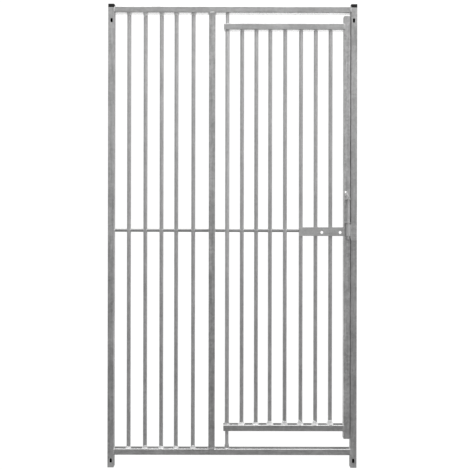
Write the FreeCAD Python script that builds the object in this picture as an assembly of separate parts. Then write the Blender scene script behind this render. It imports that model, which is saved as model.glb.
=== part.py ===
"""Kennel front panel: one square-tube frame with a fixed barred bay and a barred swing door.

Units are millimetres.  +X runs to the right along the panel, +Z is up, and the front of the
panel faces -Y.  The origin is on the floor, midway between the two posts, in the plane of the
posts' front faces.
"""
import FreeCAD, Part
import math
import os

V = FreeCAD.Vector
X_AXIS = V(1, 0, 0)
Y_AXIS = V(0, 1, 0)
Z_AXIS = V(0, 0, 1)

# ---- Overall ---------------------------------------------------------------------------
panel_width = 1000.0            # across the outer faces of the two posts
post_height = 1846.0            # floor to the top end of a post, without its cap
rail_rise = 4.0                 # top of the top rail above the top ends of the posts
infill_width = 380.0            # clear width of the fixed bay, left post to middle post

# ---- Square tube of the frame and of the door ---------------------------------------------
tube_side = 25.0
tube_wall = 2.0
tube_corner = 2.5               # outer corner radius

# ---- Heights ------------------------------------------------------------------------------
bottom_rail_clear = 50.0        # floor to the underside of the bottom rail
door_gap_below = 71.0           # bottom rail to the door's bottom rail
door_gap_above = 43.0           # door's top rail to the top rail
stile_overhang = 30.0           # stile beyond each door rail
stretcher_height = 951.0        # floor to the centre of the stretcher rods and the hinge brace

# ---- Round bars and stretchers ---------------------------------------------------------------
bar_diameter = 16.0
bar_wall = 1.5
stretcher_diameter = 12.0
# How far each bar stands from an even spacing, as it was welded in.
infill_bar_drift = (0.0, 0.0, -1.0, -7.5, -5.0)
door_bar_drift = (-1.0, -3.0, -6.5, -6.0, -1.5, -1.5, -1.5)

# ---- Hinge ------------------------------------------------------------------------------------
hinge_offset = 49.0             # middle post to the hinge axis
hinge_rod_diameter = 14.0
hinge_sleeve_wall = 1.6         # tube around the rod, between the door rails
hinge_clearance = 0.3           # radial, rod in its socket and in the top rail
hinge_rod_entry = 7.0           # how far the rod stands inside the top rail
door_rail_overhang = 14.0       # door rails beyond the hinge axis
socket_height = 14.0
socket_wall = 1.6
brace_clearance = 0.5           # end of the hinge brace to the sleeve, which turns beside it
brace_chamfer = 2.0

# ---- Post slots and caps ------------------------------------------------------------------------
slot_width = 9.0
slot_length = 18.0
slot_top_inset = 52.0           # top end of the post to the centre of the upper slot
slot_bottom_inset = 28.0        # floor to the centre of the lower slot
slot_shift = 1.5                # slot centres towards the middle of the panel
cap_height = 14.5
cap_edge = 2.0                  # rounding of the top edges of the cap head
plug_length = 22.0
plug_clearance = 0.15           # ribs of the plug to the inside of the post
plug_rib_depth = 1.8
plug_rib_height = 1.6
plug_ribs = 3

# ---- Lock plate -------------------------------------------------------------------------------------
lock_plate_height = 35.0
lock_plate_thickness = 4.0
lock_plate_centre = 947.0       # floor to the middle of the plate
lock_plate_first_bar = 5        # the door bar at which the plate starts
lock_hole_diameter = 12.0
lock_hole_inset = 15.0          # stile to the nearer hole
lock_hole_drop = 3.0            # hole centres below the middle of the plate
lock_hole_spacing = 73.5

# ---- Latch: a drop bolt on the door and its keeper on the right post ----------------------------------
latch_gap = 2.5                 # stile to the right post
bolt_diameter = 8.0
bolt_offset = 2.5               # bolt to the right of the middle of the stile
bolt_clearance = 0.5            # radial, bolt in its guides and in the keeper
bolt_below_keeper = 14.0        # tip of the bolt below the keeper tube
bolt_lift_clearance = 3.0       # raised bolt above the keeper tube
bolt_bend_radius = 12.0
bolt_handle_length = 30.0       # straight end of the handle
bolt_handle_lean = 63.0         # degrees from upright
bolt_handle_turn = 30.0         # degrees from straight forward, towards the hinge
bolt_end_chamfer = 1.5
stop_pin_diameter = 3.0
stop_pin_reach = 3.5            # stop pin beyond each side of the bolt
guide_thickness = 4.0
guide_margin = 4.5              # metal around the hole of a guide
guide_spacing = 94.0            # lower guide to upper guide
keeper_tube_wall = 3.5
keeper_tube_length = 47.0
keeper_stile_clearance = 1.0    # keeper to the front of the closed door
keeper_tab_thickness = 4.0
keeper_tab_drop = 18.0          # tab below the keeper tube, where it lies on the post
keeper_tab_reach = 22.0         # tab on the front of the post
keeper_tab_joggle = 2.0         # width of the small step in the tab
lower_guide_gap = 5.0           # keeper tube to the lower guide, more than bolt_lift_clearance

# ---- Places that follow from the sizes above -----------------------------------------------------------
mid_y = tube_side / 2
post_inner_x = panel_width / 2 - tube_side
left_post_x = -panel_width / 2 + tube_side / 2
right_post_x = -left_post_x
mid_post_left = -post_inner_x + infill_width
mid_post_x = mid_post_left + tube_side / 2
hinge_x = mid_post_left + tube_side + hinge_offset
stile_x = post_inner_x - latch_gap - tube_side / 2
stile_left = stile_x - tube_side / 2

bottom_rail_top = bottom_rail_clear + tube_side
top_rail_bottom = post_height + rail_rise - tube_side
door_bottom = bottom_rail_top + door_gap_below
door_top = top_rail_bottom - door_gap_above
door_bars_bottom = door_bottom + tube_side
door_bars_top = door_top - tube_side

hinge_hole_diameter = hinge_rod_diameter + 2 * hinge_clearance
hinge_sleeve_diameter = hinge_rod_diameter + 2 * hinge_sleeve_wall
bolt_hole_diameter = bolt_diameter + 2 * bolt_clearance
keeper_tube_diameter = bolt_hole_diameter + 2 * keeper_tube_wall
guide_width = bolt_hole_diameter + 2 * guide_margin

bolt_x = stile_x + bolt_offset
bolt_y = -keeper_stile_clearance - keeper_tube_diameter / 2
lock_plate_bottom = lock_plate_centre - lock_plate_height / 2
keeper_bottom = lock_plate_bottom
keeper_top = keeper_bottom + keeper_tube_length
bolt_tip = keeper_bottom - bolt_below_keeper
bolt_lift = bolt_below_keeper + keeper_tube_length + bolt_lift_clearance
lower_guide_bottom = keeper_top + lower_guide_gap
upper_guide_bottom = lower_guide_bottom + guide_spacing
upper_guide_top = upper_guide_bottom + guide_thickness
# The stop pin meets the underside of the upper guide when the bolt is fully raised.
stop_pin_z = upper_guide_bottom - bolt_lift - stop_pin_diameter / 2


# ---- Shapes ----------------------------------------------------------------------------------------------
def cylinder(radius, start, length, direction=Z_AXIS):
    return Part.makeCylinder(radius, length, start, direction)


def rounded_bar(side, corner, length):
    """A square bar along +Z, centred on the Z axis, with its four long edges rounded."""
    bar = Part.makeBox(side, side, length, V(-side / 2, -side / 2, 0))
    if corner <= 0:
        return bar
    long_edges = [edge for edge in bar.Edges if abs(edge.tangentAt(0).z) > 0.9]
    return bar.makeFillet(corner, long_edges)


def square_tube(length):
    outer = rounded_bar(tube_side, tube_corner, length)
    inner = rounded_bar(tube_side - 2 * tube_wall, tube_corner - tube_wall, length)
    return outer.cut(inner)


def upright_tube(x, bottom, top):
    tube = square_tube(top - bottom)
    tube.translate(V(x, mid_y, bottom))
    return tube


def level_tube(left, right, bottom):
    tube = square_tube(right - left)
    tube.rotate(V(0, 0, 0), Y_AXIS, 90)
    tube.translate(V(left, mid_y, bottom + tube_side / 2))
    return tube


def round_tube(x, y, bottom, top, outer_diameter, inner_diameter):
    outer = cylinder(outer_diameter / 2, V(x, y, bottom), top - bottom)
    return outer.cut(cylinder(inner_diameter / 2, V(x, y, bottom), top - bottom))


def stretcher_rod(left, right):
    return cylinder(stretcher_diameter / 2, V(left, mid_y, stretcher_height), right - left, X_AXIS)


def slot_cutter(x, z):
    """An upright slot that goes through the front wall of a post only."""
    straight = slot_length - slot_width
    depth = 2 * tube_wall
    middle = Part.makeBox(slot_width, depth, straight, V(x - slot_width / 2, -tube_wall, z - straight / 2))
    ends = [
        cylinder(slot_width / 2, V(x, -tube_wall, z + side * straight / 2), depth, Y_AXIS)
        for side in (-1, 1)
    ]
    return middle.fuse(ends)


def post(x):
    slot_x = x - math.copysign(slot_shift, x)
    slots = [slot_cutter(slot_x, z) for z in (slot_bottom_inset, post_height - slot_top_inset)]
    return upright_tube(x, 0, post_height).cut(slots)


def post_cap(x):
    """A push-in cap: a head flush with the post, with rounded top edges, and a ribbed plug inside."""
    head = rounded_bar(tube_side, tube_corner, cap_height)
    rim = [edge for edge in head.Edges if min(v.Z for v in edge.Vertexes) > cap_height - 0.01]
    head = head.makeFillet(cap_edge, rim)
    rib_side = tube_side - 2 * tube_wall - 2 * plug_clearance
    core = rounded_bar(rib_side - 2 * plug_rib_depth, 0, plug_length)
    core.translate(V(0, 0, -plug_length))
    pitch = plug_length / (plug_ribs + 1)
    cap = head.fuse(core)
    for number in range(plug_ribs):
        rib = rounded_bar(rib_side, 0, plug_rib_height)
        rib.translate(V(0, 0, -(number + 1) * pitch - plug_rib_height / 2))
        cap = cap.fuse(rib)
    cap = cap.removeSplitter()
    cap.translate(V(x, mid_y, post_height))
    return cap


def bar_places(left, right, drift):
    """Bar centres: even gaps between two clear faces, each bar moved by its own drift."""
    count = len(drift)
    gap = (right - left - count * bar_diameter) / (count + 1)
    pitch = gap + bar_diameter
    return [left + gap + bar_diameter / 2 + i * pitch + drift[i] for i in range(count)]


def round_bars(places, bottom, top, drilled):
    """Bars between two rails; the first ones, as many as drilled, let the stretcher through."""
    bars = []
    for number, x in enumerate(places):
        bar = round_tube(x, mid_y, bottom, top, bar_diameter, bar_diameter - 2 * bar_wall)
        if number < drilled:
            bar = bar.cut(stretcher_rod(x - bar_diameter, x + bar_diameter))
        bars.append(bar)
    return bars


def hinge_hole(rail, diameter, bottom, height):
    return rail.cut(cylinder(diameter / 2, V(hinge_x, mid_y, bottom), height))


def hinge_brace():
    """A short rod on the middle post that backs the turning hinge sleeve, just clear of it."""
    left = mid_post_left + tube_side
    right = hinge_x - hinge_sleeve_diameter / 2 - brace_clearance
    rod = stretcher_rod(left, right)
    tip = [edge for edge in rod.Edges if edge.Closed and edge.CenterOfMass.x > (left + right) / 2]
    return rod.makeChamfer(brace_chamfer, tip)


def lock_plate(left, right):
    back = mid_y - bar_diameter / 2
    front = back - lock_plate_thickness
    corner = V(left, front, lock_plate_bottom)
    plate = Part.makeBox(right - left, lock_plate_thickness, lock_plate_height, corner)
    near_hole = right - lock_hole_inset
    hole_z = lock_plate_centre - lock_hole_drop
    holes = [
        cylinder(lock_hole_diameter / 2, V(x, front, hole_z), lock_plate_thickness, Y_AXIS)
        for x in (near_hole, near_hole - lock_hole_spacing)
    ]
    return plate.cut(holes)


def bolt_guide(bottom):
    """A lug on the front of the stile, round at its outer end, with a hole for the bolt."""
    half = guide_width / 2
    lug = Part.makeBox(guide_width, -bolt_y, guide_thickness, V(bolt_x - half, bolt_y, bottom))
    lug = lug.fuse(cylinder(half, V(bolt_x, bolt_y, bottom), guide_thickness)).removeSplitter()
    return lug.cut(cylinder(bolt_hole_diameter / 2, V(bolt_x, bolt_y, bottom), guide_thickness))


def keeper_tube():
    return round_tube(
        bolt_x, bolt_y, keeper_bottom, keeper_top, keeper_tube_diameter, bolt_hole_diameter
    )


def keeper_tab():
    """A strip from the front of the right post to the keeper tube, stepped to clear the door."""
    step = keeper_stile_clearance
    thick = keeper_tab_thickness
    post_left = post_inner_x
    bottom = keeper_bottom - keeper_tab_drop
    plan = [
        V(bolt_x, -step, 0),
        V(post_left, -step, 0),
        V(post_left + keeper_tab_joggle, 0, 0),
        V(post_left + keeper_tab_reach, 0, 0),
        V(post_left + keeper_tab_reach, -thick, 0),
        V(post_left + keeper_tab_joggle, -thick, 0),
        V(post_left, -thick - step, 0),
        V(bolt_x, -thick - step, 0),
    ]
    strip = Part.Face(Part.makePolygon(plan + plan[:1])).extrude(V(0, 0, keeper_top))
    outline = [
        V(bolt_x, 0, keeper_top),
        V(post_left + keeper_tab_reach, 0, keeper_top),
        V(post_left + keeper_tab_reach, 0, bottom),
        V(post_left, 0, bottom),
        V(bolt_x + keeper_tube_diameter / 2, 0, keeper_bottom),
        V(bolt_x, 0, keeper_bottom),
    ]
    front = Part.Face(Part.makePolygon(outline + outline[:1])).extrude(V(0, -thick - step, 0))
    coping = cylinder(keeper_tube_diameter / 2, V(bolt_x, bolt_y, 0), post_height)
    return strip.common(front).cut(coping)


def drop_bolt():
    """A round rod that drops through the keeper, bent forward at the top as a handle."""
    lean = math.radians(bolt_handle_lean)
    turn = math.radians(bolt_handle_turn)
    forward = V(-math.sin(turn), -math.cos(turn), 0)
    foot = V(bolt_x, bolt_y, bolt_tip)
    bend_start = V(bolt_x, bolt_y, upper_guide_top)

    def on_bend(angle):
        out = forward * (bolt_bend_radius * (1 - math.cos(angle)))
        return bend_start + out + Z_AXIS * (bolt_bend_radius * math.sin(angle))

    bend_end = on_bend(lean)
    handle_end = bend_end + (forward * math.sin(lean) + Z_AXIS * math.cos(lean)) * bolt_handle_length
    path = Part.Wire([
        Part.LineSegment(foot, bend_start).toShape(),
        Part.Arc(bend_start, on_bend(lean / 2), bend_end).toShape(),
        Part.LineSegment(bend_end, handle_end).toShape(),
    ])
    section = Part.Wire([Part.makeCircle(bolt_diameter / 2, foot, Z_AXIS)])
    rod = path.makePipeShell([section], True, True)
    ends = [
        edge for edge in rod.Edges
        if edge.Closed and min((edge.CenterOfMass - end).Length for end in (foot, handle_end)) < 0.1
    ]
    return rod.makeChamfer(bolt_end_chamfer, ends).cut(stop_pin())


def stop_pin():
    length = bolt_diameter + 2 * stop_pin_reach
    start = V(bolt_x, bolt_y - length / 2, stop_pin_z)
    return cylinder(stop_pin_diameter / 2, start, length, Y_AXIS)


def frame_pieces():
    top_rail = level_tube(-post_inner_x, post_inner_x, top_rail_bottom)
    socket_diameter = hinge_hole_diameter + 2 * socket_wall
    socket_top = bottom_rail_top + socket_height
    pieces = {
        "left_post": post(left_post_x),
        "right_post": post(right_post_x),
        "left_post_cap": post_cap(left_post_x),
        "right_post_cap": post_cap(right_post_x),
        "top_rail": hinge_hole(top_rail, hinge_hole_diameter, top_rail_bottom, tube_side / 2),
        "bottom_rail": level_tube(-post_inner_x, post_inner_x, bottom_rail_clear),
        "middle_post": upright_tube(mid_post_x, bottom_rail_top, top_rail_bottom),
        "infill_stretcher": stretcher_rod(-post_inner_x, mid_post_left),
        "hinge_brace": hinge_brace(),
        "hinge_socket": round_tube(
            hinge_x, mid_y, bottom_rail_top, socket_top, socket_diameter, hinge_hole_diameter
        ),
        "keeper_tube": keeper_tube(),
        "keeper_tab": keeper_tab(),
    }
    places = bar_places(-post_inner_x, mid_post_left, infill_bar_drift)
    bars = round_bars(places, bottom_rail_top, top_rail_bottom, len(places))
    for number, bar in enumerate(bars, 1):
        pieces[f"infill_bar_{number}"] = bar
    return pieces


def door_pieces():
    rod_top = top_rail_bottom + hinge_rod_entry
    rod = cylinder(hinge_rod_diameter / 2, V(hinge_x, mid_y, bottom_rail_top), rod_top - bottom_rail_top)
    rail_left = hinge_x - door_rail_overhang
    sleeve_radius = hinge_sleeve_diameter / 2
    places = bar_places(hinge_x + sleeve_radius, stile_left, door_bar_drift)
    plate_bar_x = places[lock_plate_first_bar - 1]
    stretcher = stretcher_rod(hinge_x, plate_bar_x)
    stretcher = stretcher.cut([
        cylinder(sleeve_radius, V(hinge_x, mid_y, 0), post_height),
        cylinder(bar_diameter / 2, V(plate_bar_x, mid_y, 0), post_height),
    ])
    bottom_rail = level_tube(rail_left, stile_left, door_bottom)
    top_rail = level_tube(rail_left, stile_left, door_bars_top)
    pieces = {
        "door_hinge_rod": rod,
        "door_hinge_sleeve": round_tube(
            hinge_x, mid_y, door_bars_bottom, door_bars_top, hinge_sleeve_diameter, hinge_rod_diameter
        ),
        "door_bottom_rail": hinge_hole(bottom_rail, hinge_rod_diameter, door_bottom, tube_side),
        "door_top_rail": hinge_hole(top_rail, hinge_rod_diameter, door_bars_top, tube_side),
        "door_stile": upright_tube(stile_x, door_bottom - stile_overhang, door_top + stile_overhang),
        "door_stretcher": stretcher,
        "lock_plate": lock_plate(plate_bar_x - bar_diameter / 2, stile_left),
        "lower_bolt_guide": bolt_guide(lower_guide_bottom),
        "upper_bolt_guide": bolt_guide(upper_guide_bottom),
    }
    bars = round_bars(places, door_bars_bottom, door_bars_top, lock_plate_first_bar - 1)
    for number, bar in enumerate(bars, 1):
        pieces[f"door_bar_{number}"] = bar
    return pieces


def bolt_pieces():
    return {"drop_bolt": drop_bolt(), "bolt_stop_pin": stop_pin()}


def main():
    os.makedirs("parts", exist_ok=True)
    for pieces in (frame_pieces(), door_pieces(), bolt_pieces()):
        for name, shape in pieces.items():
            if not shape.isValid() or len(shape.Solids) != 1:
                raise RuntimeError(f"{name} is not one valid solid")
            shape.Solids[0].exportStep(f"parts/{name}.step")


main()
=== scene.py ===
"""Looks of the kennel front panel: galvanised finish, weld beads, studio and camera.

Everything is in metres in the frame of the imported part: +X right, +Y to the back, +Z up.
The pieces made here are the weld beads; every tube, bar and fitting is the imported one.
"""

import math
import random

import bmesh
import bpy
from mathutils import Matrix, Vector


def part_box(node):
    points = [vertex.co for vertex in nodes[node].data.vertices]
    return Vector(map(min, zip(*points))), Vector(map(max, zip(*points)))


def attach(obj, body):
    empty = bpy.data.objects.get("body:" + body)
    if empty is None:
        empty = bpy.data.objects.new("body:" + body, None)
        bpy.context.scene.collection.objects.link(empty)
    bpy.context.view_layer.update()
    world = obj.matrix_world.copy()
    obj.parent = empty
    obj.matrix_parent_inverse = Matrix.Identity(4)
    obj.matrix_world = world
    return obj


MM = 0.001
X, Y, Z = Vector((1, 0, 0)), Vector((0, 1, 0)), Vector((0, 0, 1))

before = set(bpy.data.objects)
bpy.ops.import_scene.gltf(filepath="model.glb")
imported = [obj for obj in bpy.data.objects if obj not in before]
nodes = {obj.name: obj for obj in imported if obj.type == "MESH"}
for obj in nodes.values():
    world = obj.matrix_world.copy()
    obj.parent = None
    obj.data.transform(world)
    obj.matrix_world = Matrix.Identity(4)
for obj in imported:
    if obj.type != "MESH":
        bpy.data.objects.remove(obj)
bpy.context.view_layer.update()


# ---- Node helpers --------------------------------------------------------------------------------
SWIRLS = 1.7                    # swirls that bend the edges of the zinc's crystals, per crystal
SWIRL_PUSH = 0.5                # how far they bend them, in crystals


class Graph:
    """A node tree, with short calls to add nodes and link them."""

    def __init__(self, tree):
        self.tree = tree

    def add(self, kind, **settings):
        node = self.tree.nodes.new(kind)
        for key, value in settings.items():
            setattr(node, key, value)
        return node

    def link(self, source, target):
        self.tree.links.new(source, target)

    def coordinates(self, scale=(1, 1, 1), kind="Object"):
        place = self.add("ShaderNodeTexCoord")
        mapping = self.add("ShaderNodeMapping")
        mapping.inputs["Scale"].default_value = scale
        self.link(place.outputs[kind], mapping.inputs["Vector"])
        return mapping.outputs["Vector"]

    def axes(self, kind="Object"):
        split = self.add("ShaderNodeSeparateXYZ")
        self.link(self.coordinates(kind=kind), split.inputs["Vector"])
        return split.outputs["X"], split.outputs["Y"], split.outputs["Z"]

    def noise(self, scale, detail=4.0, roughness=0.55, stretch=(1, 1, 1)):
        node = self.add("ShaderNodeTexNoise")
        node.inputs["Scale"].default_value = scale
        node.inputs["Detail"].default_value = detail
        node.inputs["Roughness"].default_value = roughness
        self.link(self.coordinates(stretch), node.inputs["Vector"])
        return node.outputs["Fac"]

    def spangle(self, scale):
        """A random grey for each crystal of the zinc."""
        warp = self.add("ShaderNodeVectorMath", operation="ADD")
        push = self.add("ShaderNodeVectorMath", operation="SCALE")
        swirl = self.add("ShaderNodeTexNoise")
        swirl.inputs["Scale"].default_value = scale * SWIRLS
        place = self.coordinates()
        self.link(place, swirl.inputs["Vector"])
        self.link(swirl.outputs["Color"], push.inputs[0])
        push.inputs["Scale"].default_value = SWIRL_PUSH / scale
        self.link(place, warp.inputs[0])
        self.link(push.outputs["Vector"], warp.inputs[1])
        cells = self.add("ShaderNodeTexVoronoi")
        cells.inputs["Scale"].default_value = scale
        self.link(warp.outputs["Vector"], cells.inputs["Vector"])
        grey = self.add("ShaderNodeSeparateColor")
        self.link(cells.outputs["Color"], grey.inputs["Color"])
        return grey.outputs[0]

    def normal_up(self):
        """How far the surface faces up, from -1 to 1."""
        split = self.add("ShaderNodeSeparateXYZ")
        self.link(self.add("ShaderNodeNewGeometry").outputs["Normal"], split.inputs["Vector"])
        return split.outputs["Z"]

    def remap(self, value, low, high, start=0.0, end=1.0):
        node = self.add("ShaderNodeMapRange")
        node.inputs["From Min"].default_value = start
        node.inputs["From Max"].default_value = end
        node.inputs["To Min"].default_value = low
        node.inputs["To Max"].default_value = high
        self.link(value, node.inputs["Value"])
        return node.outputs["Result"]

    def math(self, operation, first, second=0.0):
        node = self.add("ShaderNodeMath", operation=operation)
        for socket, value in zip(node.inputs, (first, second)):
            if isinstance(value, (int, float)):
                socket.default_value = value
            else:
                self.link(value, socket)
        return node.outputs[0]

    def weigh(self, *pairs):
        """The sum of values, each times its weight."""
        total = self.math("MULTIPLY", *pairs[0])
        for value, weight in pairs[1:]:
            total = self.math("ADD", total, self.math("MULTIPLY", value, weight))
        return total

    def ramp(self, value, stops):
        """Grey stops as (position, level)."""
        node = self.add("ShaderNodeValToRGB")
        elements = node.color_ramp.elements
        while len(elements) < len(stops):
            elements.new(0.5)
        for element, (position, level) in zip(elements, stops):
            element.position = position
            element.color = (level, level, level, 1)
        self.link(value, node.inputs["Fac"])
        return node.outputs["Color"]

    def bump(self, height, strength, distance, under=None):
        node = self.add("ShaderNodeBump")
        node.inputs["Strength"].default_value = strength
        node.inputs["Distance"].default_value = distance
        self.link(height, node.inputs["Height"])
        if under is not None:
            self.link(under, node.inputs["Normal"])
        return node.outputs["Normal"]


def new_material(name):
    """A material, its graph, and the sockets of its shader."""
    material = bpy.data.materials.new(name)
    material.use_nodes = True
    graph = Graph(material.node_tree)
    return material, graph, material.node_tree.nodes["Principled BSDF"].inputs


# ---- Materials -----------------------------------------------------------------------------------
UPRIGHT = (1, 1, 0.07)          # stretches noise along the posts and bars
LEVEL = (0.07, 1, 1)            # stretches noise along the rails
WALL = 2.0 * MM                 # wall of the square tubes
BORE_SHADE_MARGIN = 0.3 * MM          # how far the painted shade of a bore reaches into the wall
BORE_SHADE_TONE = 0.02                # how much of the zinc's tone the painted shade leaves inside a bore
CLOUD_SCALE, RUN_SCALE, GRAIN_SCALE = 9.0, 120.0, 520.0        # how fine each noise is
CRYSTALS, CLOUDS, RUNS, GRAINS = 0.14, 0.38, 0.48, 0.12        # their shares of the tone
DARK_AT, MIDDLE_AT, LIGHT_AT = 0.30, 0.50, 0.70                # shares summed up, for each tone
CRYSTAL_ROUGHNESS, GRAIN_ROUGHNESS = 0.10, 0.12                # what they add to the roughness
UNDERSIDE, SHOULDER, TOP = (-0.9, -0.5), (0.15, 0.45), (0.90, 0.99)     # normal_up where each fades
UNDER_PAINTED_LIGHT, UNDER_POLISH = 0.42, 0.25       # painted light that brightens the undersides, and roughness they lose
SHOULDER_PAINTED_HIGHLIGHT = 0.45            # painted highlight that brightens the rounded upper edges
TOP_PAINTED_SHADE = 0.26                 # painted shade that darkens the tops
HANDLE_PAINTED_HIGHLIGHT, RUB_POLISH = 0.22, 0.08           # brightness of the painted highlight on the handle, and roughness lost where hands wear it
HANDLE_FADE = 4 * MM               # height over which the painted highlight and the polish set in


def paint_bore_shade(g, colour, bore):
    """Painted shade, dull and dark, inside the tubes at x and -x; bore is their centre (x, y) and half
    width.
    """
    x, y, half = bore
    across, depth, _ = g.axes()
    off_x = g.math("ABSOLUTE", g.math("SUBTRACT", g.math("ABSOLUTE", across), x))
    off_y = g.math("ABSOLUTE", g.math("SUBTRACT", depth, y))
    outside = g.math("GREATER_THAN", g.math("MAXIMUM", off_x, off_y), half)
    return g.math("MULTIPLY", colour, g.remap(outside, BORE_SHADE_TONE, 1.0))


def paint_light_by_facing(g, colour, rough):
    """Painted light by which way the surface faces: painted light on the smoother undersides, painted
    highlights on the rounded upper edges, painted shade on the tops.
    """
    up = g.normal_up()
    under = g.remap(up, 1, 0, *UNDERSIDE)
    top = g.remap(up, 0, 1, *TOP)
    shoulder = g.math("MULTIPLY", g.remap(up, 0, 1, *SHOULDER), g.remap(top, 1, 0))
    colour = g.math("ADD", colour, g.math("MULTIPLY", under, UNDER_PAINTED_LIGHT))
    colour = g.math("ADD", colour, g.math("MULTIPLY", shoulder, SHOULDER_PAINTED_HIGHLIGHT))
    colour = g.math("SUBTRACT", colour, g.math("MULTIPLY", top, TOP_PAINTED_SHADE))
    return colour, g.math("SUBTRACT", rough, g.math("MULTIPLY", under, UNDER_POLISH))


def highlight_and_polish_handle(g, colour, rough, start):
    """Brighter with a painted highlight, and smoother, above the height start, where hands hold the piece.
    """
    _, _, height = g.axes()
    on_handle = g.remap(height, 0, 1, start, start + HANDLE_FADE)
    colour = g.math("ADD", colour, g.math("MULTIPLY", on_handle, HANDLE_PAINTED_HIGHLIGHT))
    return colour, g.math("SUBTRACT", rough, g.math("MULTIPLY", on_handle, RUB_POLISH))


def zinc(name, dark, light, roughness, along=UPRIGHT, spangle_scale=110.0, grain=1.0, metallic=0.75,
         bore=None, light_painted_by_facing=False, highlight_and_polish_above=None):
    """Hot-dip zinc between two tones: crystals, cloudy patches, runs down the length, a fine grain."""
    material, g, sockets = new_material(name)
    crystals = g.spangle(spangle_scale)
    clouds = g.noise(CLOUD_SCALE, detail=5.0)
    runs = g.noise(RUN_SCALE, detail=2.0, stretch=along)
    grains = g.noise(GRAIN_SCALE, detail=3.0)
    specks = g.remap(grains, -0.5, 0.5)
    tone = g.weigh((crystals, CRYSTALS), (clouds, CLOUDS), (runs, RUNS), (specks, GRAINS * grain))
    colour = g.ramp(tone, [(DARK_AT, dark), (MIDDLE_AT, (dark + light) / 2), (LIGHT_AT, light)])
    unevenness = g.weigh((crystals, CRYSTAL_ROUGHNESS), (grains, GRAIN_ROUGHNESS))
    rough = g.math("ADD", unevenness, roughness)
    # painted shade inside the bores of the tubes
    if bore is not None:
        colour = paint_bore_shade(g, colour, bore)
    # painted light, highlight and shade by which way the surface faces
    if light_painted_by_facing:
        colour, rough = paint_light_by_facing(g, colour, rough)
    # painted highlight on the handle, and polish where hands hold it
    if highlight_and_polish_above is not None:
        colour, rough = highlight_and_polish_handle(g, colour, rough, highlight_and_polish_above)
    g.link(colour, sockets["Base Color"])
    g.link(rough, sockets["Roughness"])
    skin = g.bump(clouds, strength=0.35, distance=0.6 * MM)
    grit = g.bump(grains, strength=0.25 * grain, distance=0.25 * MM, under=skin)
    g.link(grit, sockets["Normal"])
    sockets["Metallic"].default_value = metallic
    return material


def black_plastic():
    """Matt black with a fine speckle, and scuffs that are lighter and rougher."""
    material, g, sockets = new_material("black_plastic")
    speckle = g.noise(900.0, detail=2.0)
    scuffs = g.noise(60.0, detail=6.0)
    g.link(g.ramp(scuffs, [(0.35, 0.008), (0.75, 0.022)]), sockets["Base Color"])
    g.link(g.remap(scuffs, 0.5, 0.72, 0.3, 0.7), sockets["Roughness"])
    g.link(g.bump(speckle, strength=0.3, distance=0.2 * MM), sockets["Normal"])
    sockets["Specular IOR Level"].default_value = 0.3
    return material


def finish_of(name):
    """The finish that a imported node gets, by its name."""
    if name.endswith("_cap"):
        return "plastic"
    if name in ("drop_bolt", "bolt_stop_pin"):
        return "bolt"
    if name in ("lock_plate", "keeper_tab"):
        return "plate"
    if name in ("keeper_tube", "lower_bolt_guide", "upper_bolt_guide"):
        return "keeper"
    if name in ("left_post", "right_post"):
        return "post"
    if name in ("door_hinge_rod", "door_hinge_sleeve", "hinge_socket"):
        return "hinge"
    if name == "door_stile":
        return "stile"
    if name.endswith("_rail"):
        return "level"
    if name.endswith("_stretcher") or name == "hinge_brace":
        return "rod"
    if "_bar_" in name:
        return "bar"
    return "upright"


def paint_nodes():
    low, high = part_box("right_post")
    bore = ((low.x + high.x) / 2, (low.y + high.y) / 2, (high.x - low.x) / 2 - WALL + BORE_SHADE_MARGIN)
    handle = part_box("upper_bolt_guide")[1].z
    finishes = {
        # posts with painted shade inside their bores
        "post": zinc("galvanised_post", 0.36, 0.68, 0.40, bore=bore),
        "upright": zinc("galvanised_upright", 0.32, 0.68, 0.40),
        "stile": zinc("galvanised_stile", 0.34, 0.77, 0.40),
        "bar": zinc("galvanised_bar", 0.46, 0.68, 0.42),
        "keeper": zinc("galvanised_keeper", 0.54, 0.72, 0.50, metallic=0.4),
        "hinge": zinc("galvanised_hinge", 0.58, 0.76, 0.40),
        "rod": zinc("galvanised_rod", 0.34, 0.46, 0.55, along=LEVEL, metallic=0.5),
        # rails with painted light, highlight and shade by which way they face
        "level": zinc("galvanised_level", 0.38, 0.61, 0.40, along=LEVEL, light_painted_by_facing=True),
        "plate": zinc("galvanised_plate", 0.46, 0.72, 0.42, along=LEVEL, spangle_scale=190.0, grain=2.8),
        # bolt with a painted highlight on its handle
        "bolt": zinc("zinc_plated_bolt", 0.60, 0.78, 0.24, spangle_scale=240.0, grain=0.6, metallic=0.65,
                     highlight_and_polish_above=handle),
        "plastic": black_plastic(),
    }
    for name, node in nodes.items():
        node.data.materials.clear()
        node.data.materials.append(finishes[finish_of(name)])


# ---- Weld beads ----------------------------------------------------------------------------------
PITCH = 2.4 * MM                # one ripple of a weld bead
SINK = 0.4 * MM                 # how deep a bead starts inside the metal it joins
END_SINK = 1.3 * MM             # the same at the ends of the bars
CURVE = 7                       # steps across a bead in a corner
ARCH = 8                        # steps across a bead on a flush joint
RING_STEPS, THROUGH_STEPS = 64, 40          # steps around a bar, and around a rod through a bar
STEPS_PER_RIPPLE, FEWEST_STEPS = 4, 6       # steps along a straight bead
TREMOR = 0.02                   # unsteadiness from one step of a bead to the next
RING_RIPPLE, THROUGH_RIPPLE, CORNER_RIPPLE, SEAM_RIPPLE = 0.08, 0.15, 0.16, 0.18
RING_BELLY, THROUGH_BELLY, CORNER_BELLY = -0.18, -0.1, 0.05    # bulge; below zero it is hollow
RING_LUMPS = 0.13, 0.09         # one and two thick places in the round
RING_LEAN = 0.2                 # how much higher a ring climbs on one side
CORNER_END, SEAM_END = 0.5, 0.45            # how full a straight bead is at its ends
TAPER = 4                       # how fast it fills out from there
WANDER, WANDER_TURN = 0.12, 5   # how far a seam strays, in widths, and over what angle


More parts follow.
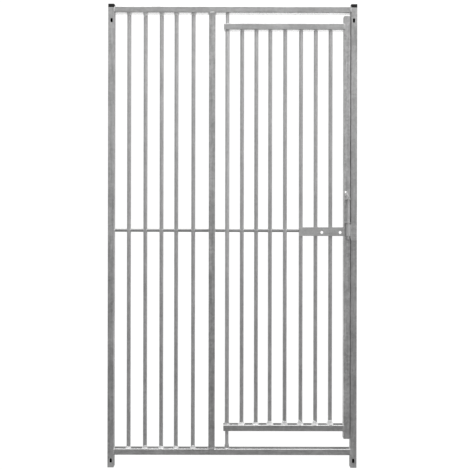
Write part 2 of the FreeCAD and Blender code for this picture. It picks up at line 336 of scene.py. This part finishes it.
def skin_strip(bm, rows, closed):
    """Joins rows of points into a solid strip: around each row, and from row to row."""
    rings = [[bm.verts.new(point) for point in row] for row in rows]
    size = len(rings[0])
    last = len(rings) if closed else len(rings) - 1
    for i in range(last):
        here, there = rings[i], rings[(i + 1) % len(rings)]
        for k in range(size):
            m = (k + 1) % size
            bm.faces.new((here[k], here[m], there[m], there[k]))
    if not closed:
        bm.faces.new(rings[0][::-1])
        bm.faces.new(rings[-1])


def ripple(rng, along, depth):
    """How full the bead is at a distance along it: a ripple and some unsteadiness of hand."""
    wave = abs(math.sin(math.pi * along / PITCH))
    return 1.0 - depth + depth * wave + rng.uniform(-TREMOR, TREMOR)


def fillet(bm, stations, closed, belly, sink=SINK):
    """A bead in the corner of two surfaces.

    A station is the corner point, the directions a and b that run off along the surfaces,
    and how far the bead reaches along each.
    """
    rows = []
    for corner, a, b, reach_a, reach_b in stations:
        row = [corner - (a + b) * sink, corner + a * reach_a - b * sink]
        for k in range(CURVE + 1):
            t = k / CURVE
            full = 1 + belly * math.sin(math.pi * t)
            row.append(corner + (a * (reach_a * (1 - t)) + b * (reach_b * t)) * full)
        row.append(corner + b * reach_b - a * sink)
        rows.append(row)
    skin_strip(bm, rows, closed)


def ring_weld(bm, rng, centre, radius, legs, climb, up=Z, sink=SINK):
    """A fillet around a round bar that stands on a flat face; legs are its reach along two axes."""
    side, front = (X, Y) if up.z else (Y, Z)
    lump_1, lump_2, lean = [rng.uniform(0, math.tau) for _ in range(3)]
    stations = []
    for i in range(RING_STEPS):
        turn = math.tau * i / RING_STEPS
        out = side * math.cos(turn) + front * math.sin(turn)
        unsteady = 1 + RING_LUMPS[0] * math.sin(turn + lump_1) + RING_LUMPS[1] * math.sin(2 * turn + lump_2)
        full = unsteady * ripple(rng, turn * radius, RING_RIPPLE)
        reach = math.hypot(legs[0] * math.cos(turn), legs[1] * math.sin(turn)) * full
        height = climb * (1 + RING_LEAN * math.sin(turn + lean)) * full
        stations.append((centre + out * radius, out, up, reach, height))
    fillet(bm, stations, True, RING_BELLY, sink)


def through_weld(bm, rng, centre, bar_radius, rod_radius, side, leg):
    """A fillet where a level rod comes out of a round bar, on the side of +X or -X."""
    stations = []
    for i in range(THROUGH_STEPS):
        turn = math.tau * i / THROUGH_STEPS
        out = Y * math.cos(turn) + Z * math.sin(turn)
        depth = rod_radius * math.cos(turn)
        reach_x = math.sqrt(bar_radius ** 2 - depth ** 2)
        normal = (X * (side * reach_x) + Y * depth) / bar_radius
        along_bar = (out - normal * normal.dot(out)).normalized()
        corner = centre + X * (side * reach_x) + out * rod_radius
        full = ripple(rng, turn * rod_radius, THROUGH_RIPPLE)
        stations.append((corner, along_bar, X * side, leg * full, leg * full))
    fillet(bm, stations, True, THROUGH_BELLY)


def steps_along(run):
    return max(FEWEST_STEPS, int(run.length * STEPS_PER_RIPPLE / PITCH))


def taper(t, end):
    """How full a straight bead is at t from 0 to 1; end is how full it is at both ends."""
    return min(1.0, end + TAPER * min(t, 1 - t))


def corner_weld(bm, rng, start, end, a, b, leg):
    """A fillet along a straight inside corner, between two faces that run off along a and b."""
    run = end - start
    steps = steps_along(run)
    stations = []
    for i in range(steps + 1):
        t = i / steps
        reach = leg * taper(t, CORNER_END) * ripple(rng, t * run.length, CORNER_RIPPLE)
        stations.append((start + run * t, a, b, reach, reach))
    fillet(bm, stations, False, CORNER_BELLY)


def seam_weld(bm, rng, start, end, side, up, width, height, sink=SINK):
    """A low bead across a flush joint, from start to end, raised along up."""
    run = end - start
    steps = steps_along(run)
    rows = []
    wander = rng.uniform(0, math.tau)
    for i in range(steps + 1):
        t = i / steps
        full = taper(t, SEAM_END) * ripple(rng, t * run.length, SEAM_RIPPLE)
        centre = start + run * t + side * (WANDER * width * math.sin(wander + WANDER_TURN * t))
        reach = side * (width / 2 * full)
        row = [centre - reach - up * sink]
        for k in range(ARCH + 1):
            angle = math.pi * (1 - k / ARCH)
            row.append(centre + reach * math.cos(angle) + up * (math.sin(angle) * height * full))
        row.append(centre + reach - up * sink)
        rows.append(row)
    skin_strip(bm, rows, False)


def weld_piece(name, body, seed, draw, material):
    """Makes one piece of weld beads; draw adds them to a mesh with a seeded generator."""
    bm = bmesh.new()
    draw(bm, random.Random(seed))
    bmesh.ops.recalc_face_normals(bm, faces=bm.faces)
    mesh = bpy.data.meshes.new(name)
    bm.to_mesh(mesh)
    bm.free()
    mesh.polygons.foreach_set("use_smooth", [True] * len(mesh.polygons))
    mesh.materials.append(material)
    piece = bpy.data.objects.new(name, mesh)
    bpy.context.scene.collection.objects.link(piece)
    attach(piece, body)


def middle(low, high, axis):
    return (low[axis] + high[axis]) / 2


def foot_and_head(node):
    """The radius of an upright round bar, and the centres of its two ends."""
    low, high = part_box(node)
    x, y = middle(low, high, 0), middle(low, high, 1)
    return (high.x - low.x) / 2, Vector((x, y, low.z)), Vector((x, y, high.z))


LEG_SPREAD, CLIMB_SPREAD = (0.85, 1.15), (0.8, 1.2)            # how bar ends differ


def bar_ends(bm, rng, prefix, count, foot_bead, head_bead):
    """Fillets at the foot and the head of each round bar; a bead is its two legs and its climb."""
    for number in range(1, count + 1):
        radius, foot, head = foot_and_head(f"{prefix}_{number}")
        for place, up, (leg_x, leg_y, climb) in ((foot, Z, foot_bead), (head, -Z, head_bead)):
            scale = rng.uniform(*LEG_SPREAD)
            legs = (leg_x * scale, leg_y * scale)
            height = climb * rng.uniform(*CLIMB_SPREAD)
            ring_weld(bm, rng, place, radius, legs, height, up=up, sink=END_SINK)


def infill_bar_welds(bm, rng):
    bar_ends(bm, rng, "infill_bar", 5, (3.6 * MM, 3.2 * MM, 9 * MM), (3.4 * MM, 3.2 * MM, 10 * MM))


def door_bar_welds(bm, rng):
    bar_ends(bm, rng, "door_bar", 7, (6.0 * MM, 3.8 * MM, 13 * MM), (1.4 * MM, 1.2 * MM, 2 * MM))


EDGE = 2.6 * MM                 # the rounded corner of a tube, which a bead stops short of
FLUSH_WIDTH = 6.5 * MM
FLUSH_HEIGHT = 0.7 * MM
GROOVE = 1.6 * MM               # depth of the groove that a flush bead fills
TOP_INSET = 1 * MM              # a bead stops this far below the top end of an upright
RAIL_LEG = 3.5 * MM             # beads under and over a rail's end
POST_WIDTH, POST_LEG = 9 * MM, 4.5 * MM     # beads at the ends of the middle post


def butt_joint(bm, rng, x, outwards, rail, upright):
    """A level rail that ends on the side face of an upright at x; outwards points along the rail."""
    low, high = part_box(rail)
    upright_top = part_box(upright)[1].z
    bead_top = min(high.z - EDGE, upright_top - TOP_INSET)
    for y, out in ((low.y, -Y), (high.y, Y)):
        ends = Vector((x, y, low.z + EDGE)), Vector((x, y, bead_top))
        seam_weld(bm, rng, *ends, X, out, FLUSH_WIDTH, FLUSH_HEIGHT, GROOVE)
    ends = Vector((x, low.y + EDGE, low.z)), Vector((x, high.y - EDGE, low.z))
    corner_weld(bm, rng, *ends, outwards, -Z, RAIL_LEG)
    if high.z < upright_top:
        ends = Vector((x, low.y + EDGE, high.z)), Vector((x, high.y - EDGE, high.z))
        corner_weld(bm, rng, *ends, outwards, Z, RAIL_LEG)


def frame_corner_welds(bm, rng):
    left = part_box("left_post")[1].x
    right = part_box("right_post")[0].x
    for rail in ("top_rail", "bottom_rail"):
        butt_joint(bm, rng, left, X, rail, "left_post")
        butt_joint(bm, rng, right, -X, rail, "right_post")
    low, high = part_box("middle_post")
    for z, up in ((low.z, Z), (high.z, -Z)):
        for y, out in ((low.y, -Y), (high.y, Y)):
            ends = Vector((low.x + EDGE, y, z)), Vector((high.x - EDGE, y, z))
            seam_weld(bm, rng, *ends, Z, out, POST_WIDTH, FLUSH_HEIGHT, GROOVE)
        for x, out in ((low.x, -X), (high.x, X)):
            ends = Vector((x, low.y + EDGE, z)), Vector((x, high.y - EDGE, z))
            corner_weld(bm, rng, *ends, out, up, POST_LEG)


def door_corner_welds(bm, rng):
    stile_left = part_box("door_stile")[0].x
    for rail in ("door_top_rail", "door_bottom_rail"):
        butt_joint(bm, rng, stile_left, -X, rail, "door_stile")


BAR_WELD = 2 * MM               # leg of the fillets where a stretcher goes through a bar
SLEEVE_WELD = 0.9 * MM          # small, so that the open door stays clear of the hinge brace
ROD_END_WELD = 2.6 * MM         # leg of the fillets where a rod ends on a square tube


def stretcher_welds(bm, rng, stretcher, crossed):
    """Fillets where a stretcher passes through the bars, or ends on one of them."""
    low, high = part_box(stretcher)
    rod_radius = (high.z - low.z) / 2
    y, z = middle(low, high, 1), middle(low, high, 2)
    for bar in crossed:
        bar_low, bar_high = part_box(bar)
        radius = (bar_high.x - bar_low.x) / 2
        x = middle(bar_low, bar_high, 0)
        for side in (-1, 1):
            if low.x < x + side * radius < high.x:
                leg = SLEEVE_WELD if bar == "door_hinge_sleeve" else BAR_WELD
                through_weld(bm, rng, Vector((x, y, z)), radius, rod_radius, side, leg)


def infill_stretcher_welds(bm, rng):
    stretcher_welds(bm, rng, "infill_stretcher", [f"infill_bar_{n}" for n in range(1, 6)])
    low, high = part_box("infill_stretcher")
    radius = (high.z - low.z) / 2
    y, z = middle(low, high, 1), middle(low, high, 2)
    for x, inwards in ((low.x, X), (high.x, -X)):
        ring_weld(bm, rng, Vector((x, y, z)), radius, (ROD_END_WELD, ROD_END_WELD), ROD_END_WELD, up=inwards)


def door_stretcher_welds(bm, rng):
    crossed = ["door_hinge_sleeve"] + [f"door_bar_{n}" for n in range(1, 8)]
    stretcher_welds(bm, rng, "door_stretcher", crossed)


def hinge_brace_weld(bm, rng):
    low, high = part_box("hinge_brace")
    radius = (high.z - low.z) / 2
    foot = Vector((low.x, middle(low, high, 1), middle(low, high, 2)))
    ring_weld(bm, rng, foot, radius, (ROD_END_WELD, ROD_END_WELD), ROD_END_WELD, up=X)


def hinge_socket_weld(bm, rng):
    radius, foot, _ = foot_and_head("hinge_socket")
    ring_weld(bm, rng, foot, radius, (1.8 * MM, 1.8 * MM), 1.6 * MM)


def hinge_rod_welds(bm, rng):
    radius, foot, head = foot_and_head("door_hinge_sleeve")
    legs = (3.6 * MM, 2.8 * MM)
    ring_weld(bm, rng, foot, radius, legs, 8 * MM, sink=END_SINK)
    ring_weld(bm, rng, head, radius, legs, 3 * MM, up=-Z, sink=END_SINK)
    radius, foot, head = foot_and_head("door_hinge_rod")
    head.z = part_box("door_top_rail")[1].z
    foot.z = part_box("door_bottom_rail")[0].z
    ring_weld(bm, rng, head, radius, (2 * MM, 2 * MM), 2 * MM)
    ring_weld(bm, rng, foot, radius, (2.4 * MM, 2.4 * MM), 2.4 * MM, up=-Z)


CREVICE_X, CREVICE_Y = 3 * MM, 0.2 * MM     # from a bar's middle and the plate's back to its bead
CREVICE_SLOPE = math.radians(30)            # how steeply that bead runs up the bar


def lock_plate_welds(bm, rng):
    """A flush seam to the stile, and beads in the two crevices behind the plate at each bar."""
    low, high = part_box("lock_plate")
    inset = 3 * MM
    bottom, top = Z * (low.z + inset), Z * (high.z - inset)
    front, back = Vector((high.x, low.y, 0)), Vector((high.x, high.y, 0))
    seam_weld(bm, rng, front + bottom, front + top, X, -Y, width=7 * MM, height=0.9 * MM, sink=0.3 * MM)
    corner_weld(bm, rng, back + bottom, back + top, -X, Y, 4 * MM)
    for number in range(1, 8):
        bar_low, bar_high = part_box(f"door_bar_{number}")
        x = middle(bar_low, bar_high, 0)
        if x < low.x:
            continue
        for side in (-1, 1):
            corner = Vector((x + side * CREVICE_X, high.y + CREVICE_Y, 0))
            up_bar = Vector((side * math.cos(CREVICE_SLOPE), math.sin(CREVICE_SLOPE), 0))
            corner_weld(bm, rng, corner + bottom, corner + top, X * side, up_bar, 4 * MM)


def bolt_guide_welds(bm, rng):
    """Fillets above and below each guide lug, small enough to let the stop pin come up beside them."""
    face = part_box("door_stile")[0].y
    for guide in ("lower_bolt_guide", "upper_bolt_guide"):
        low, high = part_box(guide)
        inset = 1.5 * MM
        for z, up in ((low.z, -Z), (high.z, Z)):
            ends = Vector((low.x + inset, face, z)), Vector((high.x - inset, face, z))
            corner_weld(bm, rng, *ends, -Y, up, 1.2 * MM)


def keeper_welds(bm, rng):
    """A fillet beside the keeper tab on the post, and one between the tab and the keeper tube."""
    low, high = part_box("keeper_tab")
    tube_low, tube_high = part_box("keeper_tube")
    inset = 2 * MM
    ends = Vector((high.x, high.y, low.z + inset)), Vector((high.x, high.y, high.z - inset))
    corner_weld(bm, rng, *ends, X, -Y, 2.4 * MM)
    radius = (tube_high.x - tube_low.x) / 2
    x, y = middle(tube_low, tube_high, 0), middle(tube_low, tube_high, 1)
    rise = low.y - y
    reach = math.sqrt(radius ** 2 - rise ** 2)
    away = Vector((rise, -reach, 0)).normalized()
    corner = Vector((x + reach, low.y, 0))
    ends = corner + Z * (tube_low.z + inset), corner + Z * (tube_high.z - inset)
    corner_weld(bm, rng, *ends, X, away, 3 * MM)


# ---- Studio --------------------------------------------------------------------------------------
VIEW_WIDTH = 1.8846             # width of the picture at the plane of the posts' front faces
DISTANCE = 2.15                 # camera to that plane
CAMERA_X, CAMERA_Z = 0.0105, 0.972
VIEW_CENTRE_Z = 0.9330          # height of the picture's middle at that plane
ROLL = math.radians(-0.11)
SENSOR = 36.0
WHITE = 1.05                    # what the camera sees of the sky and the floor


def make_camera():
    data = bpy.data.cameras.new("camera")
    data.sensor_width = SENSOR
    data.lens = SENSOR * DISTANCE / VIEW_WIDTH
    data.shift_y = (VIEW_CENTRE_Z - CAMERA_Z) / VIEW_WIDTH
    data.clip_start, data.clip_end = 0.05, 100.0
    camera = bpy.data.objects.new("camera", data)
    camera.location = (CAMERA_X, -DISTANCE, CAMERA_Z)
    camera.rotation_euler = (math.pi / 2, ROLL, 0)
    bpy.context.scene.collection.objects.link(camera)
    bpy.context.scene.camera = camera


def area_light(name, place, aim, size, power):
    """A soft rectangular light; power is in watts."""
    data = bpy.data.lights.new(name, "AREA")
    data.shape = "RECTANGLE"
    data.size, data.size_y = size
    data.energy = power
    light = bpy.data.objects.new(name, data)
    light.location = place
    light.rotation_euler = (Vector(aim) - Vector(place)).to_track_quat("-Z", "Y").to_euler()
    bpy.context.scene.collection.objects.link(light)


def white_for_camera(g, output, strength, kind):
    """Plain white where the camera looks straight at it, and the given strength as light."""
    shaders = []
    for value in (strength, WHITE):
        glow = g.add(kind)
        if isinstance(value, float):
            glow.inputs["Strength"].default_value = value
        else:
            g.link(value, glow.inputs["Strength"])
        glow.inputs["Color"].default_value = (1, 1, 1, 1)
        shaders.append(glow.outputs[0])
    mix = g.add("ShaderNodeMixShader")
    g.link(g.add("ShaderNodeLightPath").outputs["Is Camera Ray"], mix.inputs["Fac"])
    g.link(shaders[0], mix.inputs[1])
    g.link(shaders[1], mix.inputs[2])
    g.link(mix.outputs["Shader"], g.add(output).inputs["Surface"])


SKY = [(0.0, 0.24), (0.40, 0.28), (0.50, 0.38), (0.65, 0.60), (0.85, 0.85), (1.0, 1.0)]
BACKDROP = 0.35                 # extra light low behind the panel
BACKDROP_BACK, BACKDROP_UP = 0.5, 0.25      # directions where it is full, and where it has faded out
FLOOR_FRONT, FLOOR_BACK = 0.20, 1.00        # light of the floor before and behind the panel
FLOOR_START, FLOOR_END = -0.2, 0.6          # where the one fades into the other
FLOOR_HALF = 30.0


def make_world():
    """A soft sky, brighter overhead, with a light backdrop low behind the panel."""
    world = bpy.data.worlds.new("studio")
    bpy.context.scene.world = world
    world.use_nodes = True
    world.node_tree.nodes.clear()
    g = Graph(world.node_tree)
    _, back, up = g.axes("Generated")
    sky = g.ramp(g.remap(up, 0, 1, -1, 1), SKY)
    behind = g.remap(back, 0, BACKDROP, 0.0, BACKDROP_BACK)
    low = g.remap(up, 1, 0, 0.0, BACKDROP_UP)
    strength = g.math("ADD", sky, g.math("MULTIPLY", behind, low))
    white_for_camera(g, "ShaderNodeOutputWorld", strength, "ShaderNodeBackground")


def make_floor():
    """A plain pale floor that reads as white and throws more light up behind the panel."""
    mesh = bpy.data.meshes.new("floor")
    corners = [(x * FLOOR_HALF, y * FLOOR_HALF, 0) for x, y in ((-1, -1), (1, -1), (1, 1), (-1, 1))]
    mesh.from_pydata(corners, [], [(0, 1, 2, 3)])
    floor = bpy.data.objects.new("floor", mesh)
    bpy.context.scene.collection.objects.link(floor)
    material, g, _ = new_material("floor")
    material.node_tree.nodes.clear()
    _, back, _ = g.axes()
    strength = g.remap(back, FLOOR_FRONT, FLOOR_BACK, FLOOR_START, FLOOR_END)
    white_for_camera(g, "ShaderNodeOutputMaterial", strength, "ShaderNodeEmission")
    mesh.materials.append(material)


def make_lights():
    area_light("overhead", (0.0, -0.6, 6.0), (0.0, -0.1, 0.0), (7.0, 4.0), 240)
    area_light("front_fill", (0.0, -5.5, 2.6), (0.0, 0.0, 1.3), (5.0, 2.0), 15)
    area_light("right_side", (4.5, -1.2, 2.4), (0.0, 0.0, 1.1), (3.5, 3.5), 30)


make_camera()
paint_nodes()
plain = zinc("weld_zinc", 0.56, 0.74, 0.34, spangle_scale=420.0, grain=0.8)
# a lighter copy of the weld zinc: a painted highlight on the beads at the ends of the bars
weld_painted_highlight = zinc("weld_zinc_painted_highlight", 0.84, 0.97, 0.34, spangle_scale=420.0, grain=0.8, metallic=0.6)
# Each piece has the name of the function that draws it.
for body, seed, draw, material in (
    ("frame", 11, frame_corner_welds, plain),
    ("frame", 12, infill_bar_welds, weld_painted_highlight),
    ("frame", 13, infill_stretcher_welds, plain),
    ("frame", 14, hinge_socket_weld, plain),
    ("frame", 15, keeper_welds, plain),
    ("frame", 16, hinge_brace_weld, plain),
    ("door", 21, door_corner_welds, plain),
    ("door", 22, door_bar_welds, weld_painted_highlight),
    ("door", 23, hinge_rod_welds, plain),
    ("door", 24, door_stretcher_welds, plain),
    ("door", 25, lock_plate_welds, plain),
    ("door", 26, bolt_guide_welds, plain),
):
    weld_piece(draw.__name__, body, seed, draw, material)
make_world()
make_floor()
make_lights()
bpy.context.scene.view_settings.view_transform = "Standard"
